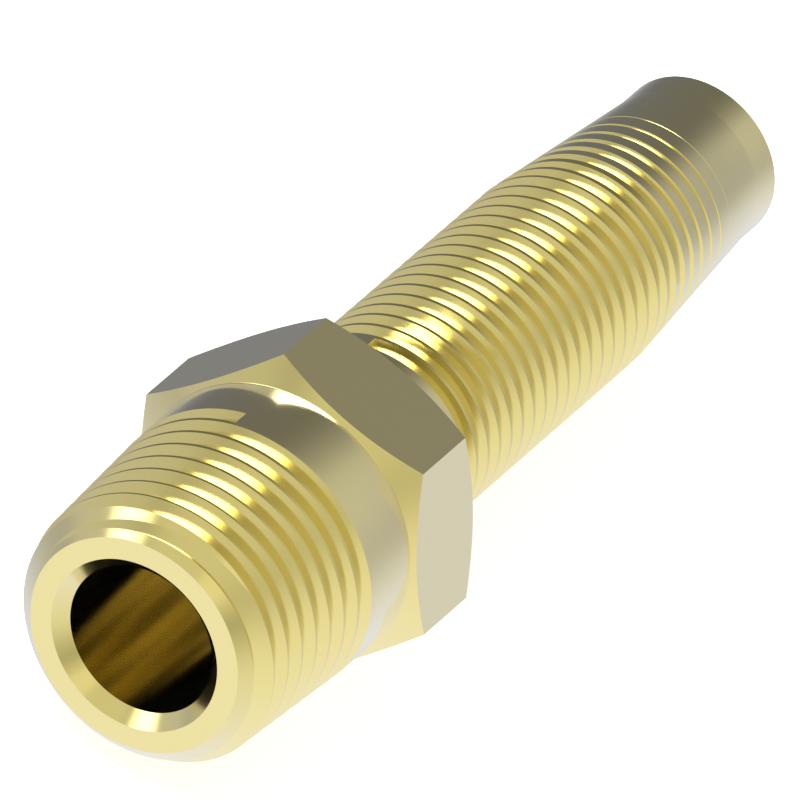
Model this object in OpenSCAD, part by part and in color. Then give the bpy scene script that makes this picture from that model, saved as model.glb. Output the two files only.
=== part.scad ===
// Brass hose nipple, turned as one piece from hexagon bar.
// X is the axis. The origin is on the axis, in the plane of the hexagon's back face, against which the hose's
// socket seats. The pipe end points to -X and the hose end to +X. Two flats of the hexagon face up and down.

/* [Pipe end] */
// Diameter of the plain collar between the pipe thread and the hexagon
collar_d = 17.15; // [17:0.05:17.5]
// Crest diameter of the tapered pipe thread where it meets the tip chamfer
pipe_tip_d = 16.1; // [15.8:0.05:16.7]
// Diameter of the flat end face, inside the 45 degree tip chamfer
end_face_d = 13.3; // [12.4:0.1:14]
// Distance from the end face to the end of the tapered crest
pipe_taper_l = 11.5; // [9:0.1:12.4]
// Pitch of the pipe thread, 18 turns to the inch
pipe_pitch = 1.411; // [1.25:0.001:1.5]
// Depth of the pipe thread
pipe_depth = 1.03; // [0.7:0.01:1.15]
// Distance from the end face to the middle of the groove where the pipe thread stops
pipe_thread_l = 11.8; // [9:0.05:13]
// Distance from the end face to the front edge of the hexagon's flats
pipe_end_l = 15.7; // [14.8:0.1:25]
// Radius of the fillet between the collar and the hexagon
collar_fillet = 0.1; // [0.1:0.05:0.6]

/* [Hexagon] */
// Width across the flats
hex_af = 17.8; // [17.7:0.1:20]
// Length from the front edge of the flats to the back face
hex_l = 6.4; // [5:0.1:15]
// Angle of the chamfers that round off the hexagon's corners
hex_chamfer_angle = 30; // [15:1:45]
// Width of the bevelled ring between the back face and the middle of each flat
back_face_inset = 0.3; // [0.1:0.05:1]

/* [Hose end] */
// Crest diameter of the hose thread
hose_d = 12.6; // [12.3:0.05:13.4]
// Pitch of the hose thread, 20 turns to the inch
hose_pitch = 1.27; // [1.15:0.01:1.35]
// Depth of the hose thread
hose_depth = 0.84; // [0.6:0.01:0.95]
// Distance from the hexagon's back face to the middle of the groove where the hose thread starts
neck_l = 3.85; // [3:0.05:8]
// Distance from the hexagon's back face to the start of the tapered run-out
hose_straight_l = 24.9; // [12:0.1:40]
// Length of the tapered run-out
run_out_l = 13.4; // [10:0.1:20]
// Diameter of the plain nose
nose_d = 10.2; // [9.7:0.05:10.6]
// Length of the plain nose
nose_l = 2; // [1:0.1:10]

/* [Bore] */
// Diameter of the straight bore
bore_d = 9.1; // [6:0.05:9.5]
// Diameter of the countersink at the end face
countersink_d = 10.65; // [9.8:0.05:12]
// Depth of the countersink
countersink_l = 0.78; // [0.5:0.01:2]

/* [Hidden] */

// Angle between a thread's flank and the plane across the axis
flank_angle = 30;
// Width of a groove's flat root, as a share of the pitch
root_share = 0.04;
// Both grooves stop in the half plane that holds this corner of the hexagon
groove_end_angle = 150;
// Plain length that a threaded rod keeps beside its groove's abrupt end
plain_margin = 0.25;
// A threaded rod runs on into the plain part at each end by the lap, and sinks under its surface by the sink
lap = 0.1;
sink = 0.02;
// Segments in each turn of a thread, in a full circle and in the fillet
turn_steps = 36;
$fn = 72;
fillet_steps = 6;
// Cutting shapes run past the faces that they cut by this much
past_face = 1;

hex_front = -hex_l;
end_face = hex_front - pipe_end_l;
taper_start = hose_straight_l;
taper_end = taper_start + run_out_l;
nose_end = taper_end + nose_l;
tip_chamfer = (pipe_tip_d - end_face_d) / 2;
pipe_slope = (collar_d - pipe_tip_d) / 2 / (pipe_taper_l - tip_chamfer);
hose_slope = (hose_d - nose_d) / 2 / run_out_l;
hex_corner_r = hex_af / 2 / cos(30);
back_face_r = hex_af / 2 - back_face_inset;

// A straight outline of a thread is [radius at Z = 0, slope]. Its crest follows the lowest of several
// such lines, and its root follows one.
function line_r(line, z) = line[0] + line[1] * z;
function lowest_r(lines, z) = min([for (line = lines) line_r(line, z)]);

// Where the flank that rises from the root edge at (z, r) meets the crest, before it and behind it
function crest_before(lines, z, r) =
    max([for (line = lines) (r + z / tan(flank_angle) - line[0]) / (line[1] + 1 / tan(flank_angle))]);
function crest_behind(lines, z, r) =
    min([for (line = lines) (line[0] - r + z / tan(flank_angle)) / (1 / tan(flank_angle) - line[1])]);

// Where the crest has come down to the root line, so that the groove has run out
function run_out_z(lines, root) =
    min([for (line = lines) if (line[1] < root[1]) (line[0] - root[0]) / (root[1] - line[1])]);

// Length from a groove's middle, at its abrupt end, to the end of the threaded rod
function rod_margin(pitch, depth) = root_share * pitch / 2 + depth * tan(flank_angle) + plain_margin;

function on_turn(z, r, step) =
    let (angle = 360 * step / turn_steps)
    [r * cos(angle), r * sin(angle), z];

// The five points of one step along the groove: its near edge, the two edges of its root, its far edge,
// and the place where the crest between this turn and the next bends
function step_points(lines, root, pitch, start, bend, last, step) =
    let (
        middle = start + pitch * step / turn_steps,
        root_a = middle - root_share * pitch / 2,
        root_b = middle + root_share * pitch / 2,
        near = min(crest_before(lines, root_a, line_r(root, root_a)), last),
        far = min(crest_behind(lines, root_b, line_r(root, root_b)), last),
        next_a = root_a + pitch,
        next_near = min(crest_before(lines, next_a, line_r(root, next_a)), last),
        crest_z = max(far, min(bend, next_near))
    )
    [
        on_turn(near, lowest_r(lines, near), step),
        on_turn(min(root_a, last), line_r(root, min(root_a, last)), step),
        on_turn(min(root_b, last), line_r(root, min(root_b, last)), step),
        on_turn(far, lowest_r(lines, far), step),
        on_turn(crest_z, lowest_r(lines, crest_z), step)
    ];

// A rod with a right-hand thread along +Z. The groove starts abruptly, start above Z = 0 and in the half plane
// of +X, and runs out where the crest has come down to its root. The crest's outline bends at the height bend.
module threaded_rod(lines, root, pitch, start, bend) {
    last = run_out_z(lines, root);
    steps = ceil((last - start + pitch) / pitch * turn_steps);
    per_step = 5;
    turn = [0:turn_steps - 1];
    points = concat(
        [for (i = turn) on_turn(-lap, lowest_r(lines, 0) - sink, i)],
        [for (i = turn) on_turn(last + lap, lowest_r(lines, last + lap) - sink, steps + i)],
        [for (i = turn) on_turn(0, lowest_r(lines, 0), i)],
        [for (step = [0:steps + turn_steps])
            each step_points(lines, root, pitch, start, bend, last, step)]
    );
    function head(i) = i % turn_steps;
    function tail(i) = turn_steps + i % turn_steps;
    function shoulder(i) = 2 * turn_steps + i % turn_steps;
    function at(step, k) = 3 * turn_steps + per_step * step + k;
    // Two triangles between the points a and b of one angle and the points c and d of the next
    function strip(a, b, c, d) = [[a, b, c], [c, b, d]];

    head_cap = [[for (i = turn) head(i)]];
    head_lap = [for (i = turn) each strip(head(i), shoulder(i), head(i + 1), shoulder(i + 1))];
    before_groove = [for (i = [0:turn_steps - 2]) each strip(shoulder(i), at(i, 0), shoulder(i + 1), at(i + 1, 0))];
    // The last strip before the groove's end wall meets every corner along that half plane
    beside_wall = [for (pair = [
            [shoulder(turn_steps - 1), shoulder(0)],
            [shoulder(0), at(0, 0)],
            [at(0, 0), at(0, 3)],
            [at(0, 3), at(0, 4)],
            [at(0, 4), at(turn_steps, 0)]
        ]) [pair[0], at(turn_steps - 1, 0), pair[1]]];
    end_wall = [[at(0, 0), at(0, 3), at(0, 2)], [at(0, 0), at(0, 2), at(0, 1)]];
    groove = [for (step = [0:steps - 1], k = [0:3])
        each strip(at(step, k), at(step, k + 1), at(step + 1, k), at(step + 1, k + 1))];
    crest = [for (step = [0:steps - 1])
        each strip(at(step, 4), at(step + turn_steps, 0), at(step + 1, 4), at(step + turn_steps + 1, 0))];
    tail_lap = [for (i = turn) each strip(at(steps + i, 0), tail(i), at(steps + i + 1, 0), tail(i + 1))];
    tail_cap = [[for (i = turn) tail(turn_steps - 1 - i)]];
    // Where two edges have run together, the strip between them shrinks to a line and is left out
    function spans(f) = points[f[0]] != points[f[1]] && points[f[1]] != points[f[2]] && points[f[2]] != points[f[0]];
    faces = concat(head_cap, head_lap, before_groove, beside_wall, end_wall, groove, crest, tail_lap, tail_cap);
    polyhedron(points, [for (f = faces) if (spans(f)) f]);
}

// The pipe thread is laid out from its abrupt end towards the tip, so it is turned round into place
pipe_rod_l = pipe_thread_l + rod_margin(pipe_pitch, pipe_depth);
pipe_lines = [
    [collar_d / 2, 0],
    [collar_d / 2 + pipe_slope * (pipe_rod_l - pipe_taper_l), -pipe_slope],
    [end_face_d / 2 + pipe_rod_l, -1]
];
pipe_root = [pipe_lines[1][0] - pipe_depth, -pipe_slope];
tip_l = pipe_rod_l - run_out_z(pipe_lines, pipe_root) - lap / 2;

module pipe_thread() {
    translate([0, 0, end_face + pipe_rod_l])
        rotate([180, 0, 0])
            rotate([0, 0, -groove_end_angle])
                threaded_rod(pipe_lines, pipe_root, pipe_pitch, pipe_rod_l - pipe_thread_l,
                    pipe_rod_l - tip_chamfer);
}

hose_rod_start = neck_l - rod_margin(hose_pitch, hose_depth);
hose_lines = [
    [hose_d / 2, 0],
    [hose_d / 2 + hose_slope * (taper_start - hose_rod_start), -hose_slope]
];
hose_root = [hose_d / 2 - hose_depth, 0];
nose_start = hose_rod_start + run_out_z(hose_lines, hose_root) + lap / 2;

module hose_thread() {
    translate([0, 0, hose_rod_start])
        rotate([0, 0, groove_end_angle])
            threaded_rod(hose_lines, hose_root, hose_pitch, neck_l - hose_rod_start,
                taper_start - hose_rod_start);
}

// The unthreaded end of the pipe thread's chamfer, with the flat end face
module tip() {
    translate([0, 0, end_face])
        rotate_extrude()
            polygon([[0, 0], [end_face_d / 2, 0], [end_face_d / 2 + tip_l, tip_l], [0, tip_l]]);
}

module collar() {
    translate([0, 0, end_face + pipe_rod_l + lap / 2])
        cylinder(d = collar_d, h = pipe_end_l - pipe_rod_l - lap / 2 + hex_l / 2);
}

module hexagon() {
    slope = tan(hex_chamfer_angle);
    // The fillet turns from the collar into the front chamfer
    fillet_angle = 90 - hex_chamfer_angle;
    fillet_out = collar_fillet * (1 - cos(fillet_angle));
    fillet_z = hex_front + (collar_d / 2 + fillet_out - hex_af / 2) * slope - collar_fillet * sin(fillet_angle);
    outer_r = hex_corner_r + past_face;
    intersection() {
        translate([0, 0, fillet_z])
            rotate([0, 0, 30])
                cylinder(r = hex_corner_r, h = -fillet_z, $fn = 6);
        rotate_extrude()
            polygon(concat(
                [[0, fillet_z]],
                [for (i = [0:fillet_steps])
                    let (angle = fillet_angle * i / fillet_steps)
                    [
                        collar_d / 2 + collar_fillet * (1 - cos(angle)),
                        fillet_z + collar_fillet * sin(angle)
                    ]],
                [
                    [outer_r, hex_front + (outer_r - hex_af / 2) * slope],
                    [outer_r, -(outer_r - back_face_r) * slope],
                    [back_face_r, 0],
                    [0, 0]
                ]
            ));
    }
}

module neck() {
    translate([0, 0, -hex_l / 2])
        cylinder(d = hose_d, h = hex_l / 2 + hose_rod_start - lap / 2);
}

module nose() {
    start_r = hose_d / 2 - hose_slope * (nose_start - taper_start);
    rotate_extrude()
        polygon([
            [0, nose_start],
            [start_r, nose_start],
            [nose_d / 2, taper_end],
            [nose_d / 2, nose_end],
            [0, nose_end]
        ]);
}

module bore() {
    translate([0, 0, end_face - past_face])
        cylinder(d = bore_d, h = nose_end - end_face + 2 * past_face);
    countersink_slope = (countersink_d - bore_d) / 2 / countersink_l;
    translate([0, 0, end_face])
        rotate_extrude()
            polygon([
                [0, -past_face],
                [countersink_d / 2 + past_face * countersink_slope, -past_face],
                [bore_d / 2, countersink_l],
                [0, countersink_l]
            ]);
}

module nipple_body() {
    color([0.86, 0.79, 0.47])
        rotate([0, 90, 0])
            difference() {
                union() {
                    tip();
                    pipe_thread();
                    collar();
                    hexagon();
                    neck();
                    hose_thread();
                    nose();
                }
                bore();
            }
}

nipple_body();
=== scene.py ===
"""A turned brass hose nipple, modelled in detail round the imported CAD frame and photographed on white.

The nipple is modelled as it is made. A length of hexagon bar is turned to its outline, and it is bored and
threaded with tools that are swept along their paths. This is done about the Z axis in millimetres, and the
finished piece is then laid down along X in metres, where the CAD node is.
"""

import logging
import math
from dataclasses import dataclass, field
from enum import Enum

import bpy
from mathutils import Matrix, Vector


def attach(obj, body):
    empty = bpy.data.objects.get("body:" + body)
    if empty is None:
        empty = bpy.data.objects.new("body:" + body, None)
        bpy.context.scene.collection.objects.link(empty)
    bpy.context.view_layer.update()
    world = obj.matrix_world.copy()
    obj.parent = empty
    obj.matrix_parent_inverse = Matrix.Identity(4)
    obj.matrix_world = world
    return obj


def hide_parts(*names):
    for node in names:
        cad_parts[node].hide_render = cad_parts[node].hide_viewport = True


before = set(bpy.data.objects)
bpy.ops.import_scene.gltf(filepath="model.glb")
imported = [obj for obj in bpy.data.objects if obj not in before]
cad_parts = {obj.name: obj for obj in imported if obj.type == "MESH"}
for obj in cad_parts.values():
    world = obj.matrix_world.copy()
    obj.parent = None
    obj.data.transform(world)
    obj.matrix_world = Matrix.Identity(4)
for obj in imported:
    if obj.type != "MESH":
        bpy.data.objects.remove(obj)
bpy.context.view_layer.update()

LOG = logging.getLogger("nipple")

MM = 0.001
BODY = "root"
CAD_NODE = "nipple_body"

HALF_CORNER = math.radians(30)
WHITE = (1, 1, 1, 1)

Outline = list[tuple[float, float]]
Colour = tuple[float, float, float]


# Modelling


class Join(Enum):
    """What is left of a piece where it meets a tool."""

    CUT = "DIFFERENCE"
    KEEP_COMMON = "INTERSECT"


class Tooling(Enum):
    """How a surface was cut, which sets the way that its fine marks run; the bore's wall also gets a darker
    brass as painted shade.
    """

    TURNED = "turned"
    CHASED = "chased"
    DRAWN = "drawn"
    DRILLED = "drilled_painted_shade"


def deselect_all() -> None:
    """Leaves nothing selected, so that an operator acts only on what is made next."""
    bpy.ops.object.select_all(action="DESELECT")


def work_on(piece: bpy.types.Object) -> None:
    """Makes a piece the only selected one, and the active one."""
    deselect_all()
    piece.select_set(True)
    bpy.context.view_layer.objects.active = piece


def apply_modifier(piece: bpy.types.Object, kind: str, **settings: object) -> None:
    """Adds a modifier and applies it at once.

    Args:
        piece: the object that is changed.
        kind: the modifier's type.
        settings: the modifier's properties and their values.
    """
    work_on(piece)
    modifier = piece.modifiers.new(kind.title(), kind)
    for name, value in settings.items():
        setattr(modifier, name, value)
    bpy.ops.object.modifier_apply(modifier=modifier.name)


def join(piece: bpy.types.Object, tool: bpy.types.Object, how: Join) -> None:
    """Cuts or intersects a piece with a tool, and removes the tool.

    Args:
        piece: the object that is changed.
        tool: the object that it meets.
        how: what the tool does.
    """
    apply_modifier(piece, "BOOLEAN", operation=how.value, object=tool, solver="MANIFOLD")
    bpy.data.objects.remove(tool)


@dataclass
class Lathe:
    """Turns round solids about the Z axis, and sweeps thread-cutting tools round it, in millimetres."""

    steps: int = 240

    def turn(self, name: str, outline: Outline) -> bpy.types.Object:
        """Turns an outline into a closed solid.

        Args:
            name: the new object's name.
            outline: stations as (height, radius), from the bottom face to the top face.

        Returns:
            The solid, made from a disc whose face is extruded and resized from station to station.
        """
        deselect_all()
        height, radius = outline[0]
        bpy.ops.mesh.primitive_circle_add(
            vertices=self.steps, radius=radius, fill_type="NGON", location=(0, 0, height)
        )
        piece = bpy.context.object
        piece.name = name
        bpy.ops.object.transform_apply(location=True, rotation=False, scale=False)
        bpy.ops.object.mode_set(mode="EDIT")
        bpy.ops.mesh.select_all(action="SELECT")
        for (height, radius), (next_height, next_radius) in zip(outline, outline[1:]):
            grow = next_radius / radius
            bpy.ops.mesh.extrude_region_move(
                TRANSFORM_OT_translate={"value": (0, 0, next_height - height)}
            )
            bpy.ops.transform.resize(value=(grow, grow, 1), center_override=(0, 0, next_height))
        bpy.ops.mesh.select_all(action="SELECT")
        bpy.ops.mesh.normals_make_consistent(inside=False)
        bpy.ops.object.mode_set(mode="OBJECT")
        return piece

    def thread_tool(self, name: str, groove: "Groove") -> bpy.types.Object:
        """Sweeps the section of a thread's groove along its helix.

        Args:
            name: the new object's name.
            groove: the groove's section and path.

        Returns:
            A closed solid that cuts the groove when it is taken from a turned blank.
        """
        deselect_all()
        bpy.ops.mesh.primitive_plane_add(size=1)
        tool = bpy.context.object
        tool.name = name
        inner, outer = groove.root_r, groove.root_r + groove.reach
        for corner in tool.data.vertices:
            width = groove.root_w if corner.co.x < 0 else groove.outer_w
            corner.co = (inner if corner.co.x < 0 else outer, 0, math.copysign(width / 2, corner.co.y))
        bpy.ops.object.mode_set(mode="EDIT")
        bpy.ops.mesh.select_all(action="SELECT")
        bpy.ops.transform.translate(value=(0, 0, groove.start - groove.middle))
        bpy.ops.object.mode_set(mode="OBJECT")
        apply_modifier(
            tool,
            "SCREW",
            axis="Z",
            angle=groove.direction * math.tau,
            screw_offset=groove.direction * groove.pitch,
            iterations=groove.turns,
            steps=self.steps,
            render_steps=self.steps,
            use_merge_vertices=False,
        )
        bpy.ops.object.mode_set(mode="EDIT")
        bpy.ops.mesh.select_all(action="DESELECT")
        bpy.ops.mesh.select_non_manifold()
        bpy.ops.mesh.fill_holes(sides=4)
        bpy.ops.mesh.select_all(action="SELECT")
        bpy.ops.mesh.normals_make_consistent(inside=False)
        bpy.ops.transform.rotate(
            value=-math.radians(groove.start_angle), orient_axis="Z", center_override=(0, 0, 0)
        )
        bpy.ops.object.mode_set(mode="OBJECT")
        if groove.taper:
            length = tool.dimensions.z
            apply_modifier(
                tool, "SIMPLE_DEFORM", deform_method="TAPER", deform_axis="Z", factor=groove.taper * length
            )
        tool.location.z = groove.middle
        bpy.ops.object.transform_apply(location=True, rotation=False, scale=False)
        return tool


@dataclass(frozen=True)
class Groove:
    """The groove of a right-hand thread, in millimetres.

    root_r is the radius of its flat root at the height middle, and taper is how much that radius grows, as a
    share of it, with each millimetre of height. depth is its greatest depth, and clear is how far the tool
    stands out of the blank. direction is 1 where the groove runs up from its abrupt end, and -1 where it runs
    down.
    """

    root_r: float
    depth: float
    pitch: float
    start: float
    start_angle: float
    turns: int
    direction: int
    middle: float
    taper: float = 0.0
    flank_angle: float = 30.0
    root_share: float = 0.04
    clear: float = 0.6

    @property
    def root_w(self) -> float:
        """Width of the flat root."""
        return self.root_share * self.pitch

    @property
    def reach(self) -> float:
        """Radial size of the tool, which stands clear of the blank."""
        return self.depth + self.clear

    @property
    def outer_w(self) -> float:
        """Width of the tool at its outer edge."""
        return self.root_w + 2 * self.reach * math.tan(math.radians(self.flank_angle))


@dataclass
class Nipple:
    """The whole part, turned from one hexagon bar, in millimetres.

    The pipe thread's lengths run from the end face, and the hose thread's from the hexagon's back face.
    A face is a thread's crest when it is shorter than crest_l along the axis, stands more than crest_clear
    above the root and slopes less than crest_slope.
    """

    collar_r: float = 8.575
    pipe_tip_r: float = 8.05
    end_face_r: float = 6.65
    pipe_taper_l: float = 11.5
    pipe_pitch: float = 1.411
    pipe_depth: float = 1.0
    pipe_tip_depth: float = 1.05
    pipe_thread_l: float = 11.8
    pipe_end_l: float = 15.7
    collar_fillet: float = 0.1

    hex_af: float = 17.8
    hex_l: float = 6.4
    hex_chamfer_angle: float = 30.0
    back_face_inset: float = 0.3

    hose_r: float = 6.3
    hose_pitch: float = 1.27
    hose_depth: float = 0.84
    hose_tail_depth: float = 0.89
    neck_l: float = 3.85
    hose_straight_l: float = 24.9
    run_out_l: float = 13.4
    nose_r: float = 5.1
    nose_l: float = 2.0

    bore_r: float = 4.55
    countersink_r: float = 5.325
    countersink_l: float = 0.78

    groove_end_angle: float = 150.0
    past: float = 1.0
    support: float = 0.02
    fillet_steps: int = 12
    smooth_angle: float = 10.0
    merge: float = 0.002
    flat_slope: float = 0.01
    crest_l: float = 0.5
    crest_clear: float = 0.25
    crest_slope: float = 0.12
    lathe: Lathe = field(default_factory=Lathe)

    @property
    def end_face(self) -> float:
        """Height of the flat end face, below the hexagon's back face."""
        return -self.hex_l - self.pipe_end_l

    @property
    def nose_end(self) -> float:
        """Height of the nose's end."""
        return self.hose_straight_l + self.run_out_l + self.nose_l

    @property
    def corner_r(self) -> float:
        """Distance from the axis to the hexagon's corners."""
        return self.hex_af / 2 / math.cos(HALF_CORNER)

    @property
    def tip_chamfer(self) -> float:
        """Size of the 45 degree chamfer round the end face."""
        return self.pipe_tip_r - self.end_face_r

    @property
    def pipe_slope(self) -> float:
        """How much the pipe thread's radius grows with each millimetre towards the hexagon."""
        return (self.collar_r - self.pipe_tip_r) / (self.pipe_taper_l - self.tip_chamfer)

    def outline(self) -> Outline:
        """Gives the turned outline from the end face to the nose.

        Returns:
            Stations that pass outside the hexagon's corners, where the bar's own flats are left standing.
        """
        slope = math.tan(math.radians(self.hex_chamfer_angle))
        flat_r = self.hex_af / 2
        outer_r = self.corner_r + self.past
        back_face_r = flat_r - self.back_face_inset
        taper_end = self.hose_straight_l + self.run_out_l
        return [
            (self.end_face, self.end_face_r),
            (self.end_face + self.tip_chamfer, self.pipe_tip_r),
            (self.end_face + self.pipe_taper_l, self.collar_r),
            *self.fillet(slope, flat_r),
            (-self.hex_l + (outer_r - flat_r) * slope, outer_r),
            (-(outer_r - back_face_r) * slope, outer_r),
            (0, back_face_r),
            (0, self.hose_r),
            (self.hose_straight_l, self.hose_r),
            (taper_end, self.nose_r),
            (taper_end + self.support, self.nose_r),
            (self.nose_end, self.nose_r),
        ]

    def fillet(self, slope: float, flat_r: float) -> Outline:
        """Gives the fillet that turns from the collar into the hexagon's front chamfer.

        Args:
            slope: how far the chamfer climbs along the axis with each millimetre of radius.
            flat_r: half the width across the flats.

        Returns:
            Its stations, with one more close to each end, so that the faces beside it stay true when they
            are smoothed.
        """
        turn = math.radians(90 - self.hex_chamfer_angle)
        out = self.collar_fillet * (1 - math.cos(turn))
        start = (
            -self.hex_l + (self.collar_r + out - flat_r) * slope - self.collar_fillet * math.sin(turn)
        )
        angles = [turn * step / self.fillet_steps for step in range(self.fillet_steps + 1)]
        arc = [
            (
                start + self.collar_fillet * math.sin(angle),
                self.collar_r + self.collar_fillet * (1 - math.cos(angle)),
            )
            for angle in angles
        ]
        end_z, end_r = arc[-1]
        return [
            (start - self.support, self.collar_r),
            *arc,
            (end_z + self.support * slope, end_r + self.support),
        ]

    def make_blank(self) -> bpy.types.Object:
        """Turns a length of hexagon bar to the outline, which leaves the hexagon where it is widest.

        Returns:
            The unthreaded part, without its bore.
        """
        blank = self.lathe.turn("nipple", self.outline())
        length = self.nose_end - self.end_face + 2 * self.past
        deselect_all()
        bpy.ops.mesh.primitive_cylinder_add(
            vertices=6,
            radius=self.corner_r,
            depth=length,
            location=(0, 0, self.end_face - self.past + length / 2),
        )
        bar = bpy.context.object
        bpy.ops.object.transform_apply(location=True, rotation=False, scale=False)
        join(blank, bar, Join.KEEP_COMMON)
        return blank

    def make_bore_tool(self) -> bpy.types.Object:
        """Turns the drill and countersink in one.

        Returns:
            A solid that passes through the whole part.
        """
        opening = (self.countersink_r - self.bore_r) / self.countersink_l
        return self.lathe.turn(
            "bore_tool",
            [
                (self.end_face - self.past, self.countersink_r + opening * self.past),
                (self.end_face + self.countersink_l, self.bore_r),
                (self.nose_end + self.past, self.bore_r),
            ],
        )

    def pipe_groove(self) -> Groove:
        """Describes the pipe thread's groove.

        Returns:
            A groove that runs down from the collar, a little deeper, and out over the tip's chamfer.
        """
        middle = self.end_face + self.pipe_thread_l / 2
        crest_r = self.collar_r - self.pipe_slope * (self.pipe_taper_l - self.pipe_thread_l / 2)
        root_r = crest_r - (self.pipe_depth + self.pipe_tip_depth) / 2
        root_slope = self.pipe_slope + (self.pipe_tip_depth - self.pipe_depth) / self.pipe_thread_l
        return Groove(
            root_r=root_r,
            depth=self.pipe_tip_depth,
            pitch=self.pipe_pitch,
            start=self.end_face + self.pipe_thread_l,
            start_angle=self.groove_end_angle,
            turns=math.ceil(self.pipe_thread_l / self.pipe_pitch) + 1,
            direction=-1,
            middle=middle,
            taper=root_slope / root_r,
        )

    def hose_groove(self) -> Groove:
        """Describes the hose thread's groove.

        Returns:
            A groove that runs up from the neck, a little deeper, and out over the tapered tail.
        """
        root_r = self.hose_r - self.hose_depth
        root_slope = (self.hose_depth - self.hose_tail_depth) / (self.nose_end - self.neck_l)
        return Groove(
            root_r=root_r,
            depth=self.hose_tail_depth,
            pitch=self.hose_pitch,
            start=self.neck_l,
            start_angle=self.groove_end_angle,
            turns=math.ceil((self.nose_end - self.neck_l) / self.hose_pitch),
            direction=1,
            middle=self.neck_l,
            taper=root_slope / root_r,
        )

    def model(self) -> bpy.types.Object:
        """Makes the part, smooths its round faces and lays it down along X in metres.

        Returns:
            The finished piece, which stands for the CAD node.
        """
        piece = self.make_blank()
        join(piece, self.make_bore_tool(), Join.CUT)
        join(piece, self.lathe.thread_tool("pipe_thread_tool", self.pipe_groove()), Join.CUT)
        join(piece, self.lathe.thread_tool("hose_thread_tool", self.hose_groove()), Join.CUT)
        work_on(piece)
        bpy.ops.object.mode_set(mode="EDIT")
        bpy.ops.mesh.select_all(action="SELECT")
        bpy.ops.mesh.remove_doubles(threshold=self.merge)
        bpy.ops.mesh.dissolve_degenerate(threshold=self.merge)
        bpy.ops.object.mode_set(mode="OBJECT")
        bpy.ops.object.shade_smooth_by_angle(angle=math.radians(self.smooth_angle))
        piece.matrix_world = Matrix.Rotation(math.radians(90), 4, "Y") @ Matrix.Scale(MM, 4)
        bpy.ops.object.transform_apply(location=True, rotation=True, scale=True)
        return piece

    def tooling(self, mesh: bpy.types.Mesh, face: bpy.types.MeshPolygon) -> Tooling:
        """Says how a face of the finished part was cut, from its place, its length and its normal.

        Args:
            mesh: the part's mesh, laid down along X in metres.
            face: one of its faces.

        Returns:
            Chased for the threads' narrow crests, drilled for the bore's wall, drawn for the bar's own
            flats and turned for the rest.
        """
        radius = math.hypot(face.center.y, face.center.z) / MM
        slope = abs(face.normal.x)
        places = [mesh.vertices[index].co.x / MM for index in face.vertices]
        low, high = min(places), max(places)
        collar_x = self.pipe_taper_l - self.pipe_end_l - self.hex_l
        beside_collar = low < collar_x < high + self.crest_clear
        narrow = high - low < self.crest_l and not beside_collar
        root_r = self.hose_r - self.hose_depth if face.center.x > 0 else self.pipe_tip_r - self.pipe_depth
        if narrow and radius > root_r + self.crest_clear and slope < self.crest_slope:
            return Tooling.CHASED
        if slope > self.flat_slope:
            return Tooling.TURNED
        if radius < self.bore_r + self.merge:
            return Tooling.DRILLED
        return Tooling.DRAWN if radius > self.hex_af / 2 - self.merge else Tooling.TURNED

    def dress(self, piece: bpy.types.Object, finishes: tuple["BrassFinish", ...]) -> None:
        """Gives each face the finish of the tool that cut it, with a darker brass on the bore's wall as
        painted shade.

        Args:
            piece: the finished part.
            finishes: one finish for each kind of tool.
        """
        piece.data.materials.clear()
        slots = {}
        for finish in finishes:
            slots[finish.tooling] = len(piece.data.materials)
            piece.data.materials.append(finish.material())
        for face in piece.data.polygons:
            face.material_index = slots[self.tooling(piece.data, face)]


# Shader trees

MIX_FIRST_COLOUR, MIX_SECOND_COLOUR = 6, 7
MIX_RESULT_COLOUR = 2


class Value:
    """A number that a shader works out. Arithmetic on it adds Math nodes to its tree."""

    def __init__(self, tree: "Tree", socket: bpy.types.NodeSocket) -> None:
        """Wraps an output socket of a node in the tree."""
        self.tree = tree
        self.socket = socket

    def _math(self, operation: str, *terms: "Value | float") -> "Value":
        """Adds one Math node.

        Args:
            operation: the node's operation.
            terms: its inputs in order, as values or numbers.

        Returns:
            The node's result.
        """
        node = self.tree.add("ShaderNodeMath", {"operation": operation}, dict(enumerate(terms)))
        return Value(self.tree, node.outputs[0])

    def __add__(self, other: "Value | float") -> "Value":
        """Sum."""
        return self._math("ADD", self, other)

    __radd__ = __add__

    def __sub__(self, other: "Value | float") -> "Value":
        """Difference."""
        return self._math("SUBTRACT", self, other)

    def __rsub__(self, other: "Value | float") -> "Value":
        """Difference, with a number first."""
        return self._math("SUBTRACT", other, self)

    def __mul__(self, other: "Value | float") -> "Value":
        """Product."""
        return self._math("MULTIPLY", self, other)

    __rmul__ = __mul__

    def __pow__(self, other: "Value | float") -> "Value":
        """Power."""
        return self._math("POWER", self, other)

    def arctan2(self, other: "Value") -> "Value":
        """Angle of the point whose height is this value and whose reach is the other."""
        return self._math("ARCTAN2", self, other)

    def step(self, low: float, high: float, to_low: float = 0.0, to_high: float = 1.0) -> "Value":
        """Rises smoothly from one level to another as this value passes between two limits.

        Args:
            low: where the rise starts.
            high: where it ends.
            to_low: the level before it.
            to_high: the level after it.

        Returns:
            The level.
        """
        node = self.tree.add(
            "ShaderNodeMapRange",
            {"interpolation_type": "SMOOTHSTEP"},
            {"Value": self, "From Min": low, "From Max": high, "To Min": to_low, "To Max": to_high},
        )
        return Value(self.tree, node.outputs[0])


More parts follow.
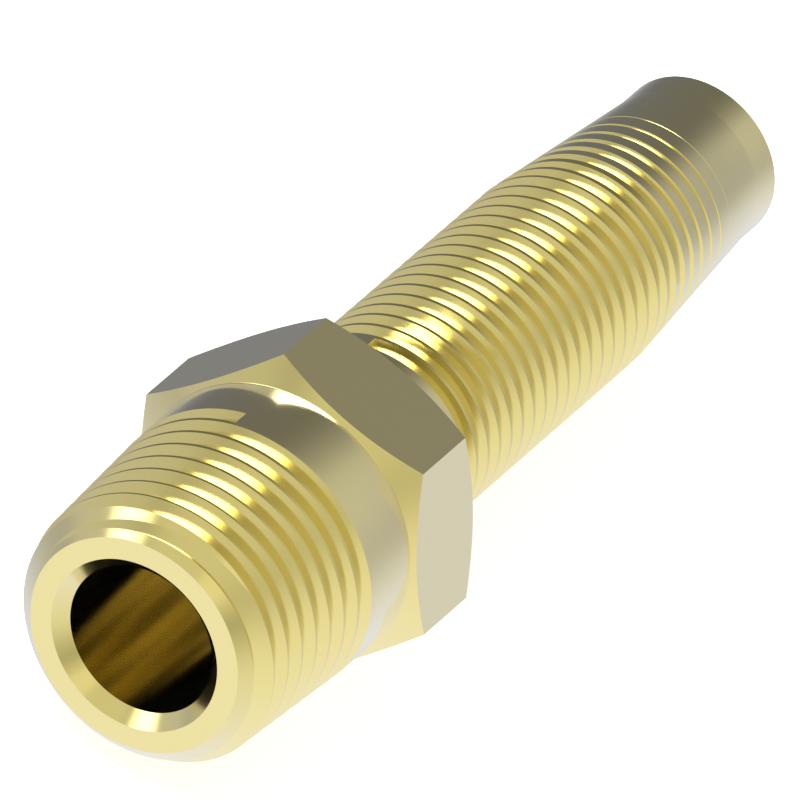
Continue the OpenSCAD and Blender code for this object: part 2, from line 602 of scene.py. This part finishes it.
class Tree:
    """The node tree of one material or of the world, emptied and then filled by its builder."""

    def __init__(self, owner: bpy.types.Material | bpy.types.World) -> None:
        """Takes the owner's tree and empties it."""
        owner.use_nodes = True
        self.nodes = owner.node_tree.nodes
        self.links = owner.node_tree.links
        self.nodes.clear()

    def add(
        self,
        kind: str,
        settings: dict[str, object] | None = None,
        inputs: dict[int | str, object] | None = None,
    ) -> bpy.types.Node:
        """Adds any node.

        Args:
            kind: the node's type.
            settings: its properties, which are set first.
            inputs: its sockets by name or number, with a value, a socket or a plain number or colour for
                each.

        Returns:
            The node.
        """
        node = self.nodes.new(kind)
        for name, value in (settings or {}).items():
            setattr(node, name, value)
        for name, value in (inputs or {}).items():
            if isinstance(value, Value):
                value = value.socket
            if isinstance(value, bpy.types.NodeSocket):
                self.links.new(value, node.inputs[name])
            else:
                node.inputs[name].default_value = value
        return node

    def value(self, node: bpy.types.Node, output: int | str = 0) -> Value:
        """Wraps one of a node's outputs, so that arithmetic can be written with it."""
        return Value(self, node.outputs[output])


# Finishes


@dataclass(frozen=True)
class BrassFinish:
    """Bright brass with the fine marks of one kind of tool.

    Marks are given as lines to the millimetre, and their depth in millimetres. Drawn marks are long along the
    axis and the others long round it. Faint patches of the deep colour lie over the whole metal. The metal
    turns white where it is seen at a grazing angle, and the higher glaze_power is, the later it does so.
    """

    tooling: Tooling
    colour: Colour = (0.883, 0.755, 0.265)
    deep_colour: Colour = (0.845, 0.70, 0.228)
    roughness: float = 0.14
    roughness_change: float = 0.03
    marks: float = 9.0
    mark_depth: float = 0.0003
    mark_detail: float = 3.0
    drawn_share: float = 0.02
    round_share: float = 0.15
    patch_scale: float = 140.0
    patch_detail: float = 2.0
    patch_limits: tuple[float, float] = (0.3, 0.75)
    patch_strength: float = 0.25
    glaze_blend: float = 0.5
    glaze_power: float = 1.3

    def material(self) -> bpy.types.Material:
        """Builds the material.

        Returns:
            A metal whose colour, roughness and bump vary with the marks and with broad faint patches.
        """
        material = bpy.data.materials.new(f"brass_{self.tooling.value}")
        tree = Tree(material)
        place = tree.add("ShaderNodeTexCoord").outputs["Object"]
        split = tree.add("ShaderNodeSeparateXYZ", inputs={0: place})
        x, y, z = (tree.value(split, axis) for axis in range(3))
        radius = (y * y + z * z) ** 0.5
        per_metre = self.marks / MM
        if self.tooling is Tooling.DRAWN:
            run = (x * (per_metre * self.drawn_share), y * per_metre, z * per_metre)
        else:
            run = (x * per_metre, radius * per_metre, y.arctan2(z) * self.round_share)
        along = tree.add("ShaderNodeCombineXYZ", inputs=dict(enumerate(run)))
        lines = self.noise(tree, along.outputs[0], 1.0, self.mark_detail)
        patches = self.noise(tree, place, self.patch_scale, self.patch_detail)
        bump = tree.add(
            "ShaderNodeBump",
            inputs={"Strength": 1.0, "Distance": self.mark_depth * MM, "Height": lines},
        ).outputs[0]
        colour = tree.add(
            "ShaderNodeMix",
            {"data_type": "RGBA"},
            {
                "Factor": patches.step(*self.patch_limits, 0.0, self.patch_strength),
                MIX_FIRST_COLOUR: (*self.colour, 1.0),
                MIX_SECOND_COLOUR: (*self.deep_colour, 1.0),
            },
        ).outputs[MIX_RESULT_COLOUR]
        metal = tree.add(
            "ShaderNodeBsdfPrincipled",
            inputs={
                "Base Color": colour,
                "Metallic": 1.0,
                "Roughness": self.roughness + (lines + patches - 1.0) * self.roughness_change,
                "Normal": bump,
            },
        )
        glaze = tree.add(
            "ShaderNodeBsdfGlossy",
            inputs={"Color": WHITE, "Roughness": self.roughness, "Normal": bump},
        )
        facing = tree.value(
            tree.add("ShaderNodeLayerWeight", inputs={"Blend": self.glaze_blend, "Normal": bump}), "Facing"
        )
        both = tree.add(
            "ShaderNodeMixShader",
            inputs={0: facing**self.glaze_power, 1: metal.outputs[0], 2: glaze.outputs[0]},
        )
        tree.add("ShaderNodeOutputMaterial", inputs={"Surface": both.outputs[0]})
        return material

    @staticmethod
    def noise(tree: Tree, where: bpy.types.NodeSocket, scale: float, detail: float) -> Value:
        """Adds a noise texture that is read at the given place."""
        inputs = {"Vector": where, "Scale": scale, "Detail": detail}
        return tree.value(tree.add("ShaderNodeTexNoise", inputs=inputs))


FINISHES = (
    BrassFinish(Tooling.TURNED),
    BrassFinish(Tooling.CHASED, glaze_power=3.5),
    BrassFinish(Tooling.DRAWN, roughness=0.12, mark_depth=0.0002),
    BrassFinish(
        Tooling.DRILLED,
        # Darker, paler brass on the bore's wall is painted shade in the bore; its fine marks are the drill's.
        colour=(0.79, 0.69, 0.32),
        deep_colour=(0.75, 0.65, 0.30),
        roughness=0.1,
        roughness_change=0.01,
        marks=2.0,
        mark_depth=0.00012,
    ),
)


# Studio


def towards(azimuth: float, elevation: float) -> Vector:
    """Unit vector at an angle from +X round Z and an angle above the horizon, in degrees."""
    turn, rise = math.radians(azimuth), math.radians(elevation)
    return Vector((math.cos(turn) * math.cos(rise), math.sin(turn) * math.cos(rise), math.sin(rise)))


@dataclass(frozen=True)
class Panel:
    """A soft box or a card, seen from the part: its centre's direction, its size and its brightness.

    It has its full level within the inner angle and fades out at the outer angle, in degrees.
    """

    azimuth: float
    elevation: float
    inner: float
    outer: float
    level: float

    def over(self, level: Value | float, direction: bpy.types.NodeSocket, tree: Tree) -> Value:
        """Lays the panel over what is behind it.

        Args:
            level: the brightness behind it.
            direction: the direction of the ray.
            tree: the world's tree.

        Returns:
            The brightness with the panel in place.
        """
        facing = tree.value(
            tree.add(
                "ShaderNodeVectorMath",
                {"operation": "DOT_PRODUCT"},
                {0: direction, 1: towards(self.azimuth, self.elevation)},
            ),
            "Value",
        )
        cover = facing.step(math.cos(math.radians(self.outer)), math.cos(math.radians(self.inner)))
        return cover * (self.level - level) + level


@dataclass
class Studio:
    """A white floor under a soft studio, which has a white sweep, a dark card and two soft boxes.

    The floor's height and size are in millimetres. Its glow is added for the camera alone, so that it shows
    white. glossy_bounces is how often light is followed from metal to metal, as down the bore.
    """

    floor_z: float = -8.9
    floor_size: float = 20000.0
    floor_white: float = 0.85
    floor_glow: float = 0.64
    glossy_bounces: int = 6
    ambient: float = 0.45
    panels: tuple[Panel, ...] = (
        Panel(azimuth=-110, elevation=-56, inner=44, outer=95, level=0.86),
        Panel(azimuth=-164, elevation=-49, inner=1, outer=59, level=0.97),
        Panel(azimuth=-59, elevation=45, inner=1, outer=46, level=0.63),
        Panel(azimuth=176, elevation=43, inner=26, outer=44, level=0.7),
        Panel(azimuth=34, elevation=9, inner=23, outer=55, level=0.16),
        Panel(azimuth=-15, elevation=10, inner=1, outer=28, level=0.43),
        Panel(azimuth=122, elevation=-1, inner=15, outer=34, level=0.59),
        Panel(azimuth=-161, elevation=44, inner=2, outer=14, level=0.88),
        Panel(azimuth=84, elevation=57, inner=10, outer=24.5, level=6.5),
        Panel(azimuth=112, elevation=24, inner=1, outer=19, level=3.0),
    )

    def build_world(self) -> None:
        """Lights the part from all round, and shows the camera plain white."""
        scene = bpy.context.scene
        scene.world = scene.world or bpy.data.worlds.new("studio")
        tree = Tree(scene.world)
        direction = tree.add("ShaderNodeTexCoord").outputs["Generated"]
        level: Value | float = self.ambient
        for panel in self.panels:
            level = panel.over(level, direction, tree)
        camera_ray = tree.value(tree.add("ShaderNodeLightPath"), "Is Camera Ray")
        shown = camera_ray * (1.0 - level) + level
        background = tree.add("ShaderNodeBackground", inputs={"Color": WHITE, "Strength": shown})
        tree.add("ShaderNodeOutputWorld", inputs={"Surface": background.outputs[0]})
        scene.cycles.glossy_bounces = self.glossy_bounces

    def build_floor(self) -> None:
        """Lays the white floor under the hexagon's lower flat."""
        deselect_all()
        bpy.ops.mesh.primitive_plane_add(size=self.floor_size * MM, location=(0, 0, self.floor_z * MM))
        floor = bpy.context.object
        floor.name = "floor"
        floor.visible_glossy = False
        material = bpy.data.materials.new("white_floor")
        tree = Tree(material)
        paper = tree.add("ShaderNodeBsdfDiffuse", inputs={"Color": (self.floor_white,) * 3 + (1,)})
        camera_ray = tree.value(tree.add("ShaderNodeLightPath"), "Is Camera Ray")
        glow = tree.add("ShaderNodeEmission", inputs={"Strength": camera_ray * self.floor_glow})
        both = tree.add("ShaderNodeAddShader", inputs={0: paper.outputs[0], 1: glow.outputs[0]})
        tree.add("ShaderNodeOutputMaterial", inputs={"Surface": both.outputs[0]})
        floor.data.materials.append(material)


@dataclass
class Camera:
    """A camera far off with a very long lens, which looks down on the part from its pipe end.

    Lengths are in millimetres, and angles in degrees.
    """

    aim: tuple[float, float, float] = (8.505, 0.721, -0.425)
    azimuth: float = -170.280
    elevation: float = 40.802
    roll: float = 34.414
    distance: float = 2107.7
    lens: float = 1700.0
    sensor: float = 36.0
    clip_start: float = 100.0
    clip_end: float = 10000.0

    def build(self) -> None:
        """Makes the scene's camera."""
        data = bpy.data.cameras.new("camera")
        data.lens = self.lens
        data.sensor_width = self.sensor
        data.clip_start, data.clip_end = self.clip_start * MM, self.clip_end * MM
        camera = bpy.data.objects.new("camera", data)
        bpy.context.scene.collection.objects.link(camera)
        back = towards(self.azimuth, self.elevation)
        place = Matrix.Translation((Vector(self.aim) + back * self.distance) * MM)
        turn = back.to_track_quat("Z", "Y").to_matrix().to_4x4()
        camera.matrix_world = place @ turn @ Matrix.Rotation(math.radians(self.roll), 4, "Z")
        bpy.context.scene.camera = camera


def main() -> None:
    """Builds the nipple, its finishes, the studio and the camera, in that order."""
    logging.basicConfig(level=logging.INFO, format="%(name)s: %(message)s")
    nipple = Nipple()
    piece = nipple.model()
    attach(piece, BODY)
    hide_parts(CAD_NODE)
    nipple.dress(piece, FINISHES)
    LOG.info("%s: %d faces", piece.name, len(piece.data.polygons))
    studio = Studio()
    studio.build_world()
    studio.build_floor()
    Camera().build()
    bpy.context.scene.view_settings.view_transform = "Standard"


if __name__ == "__main__":
    main()
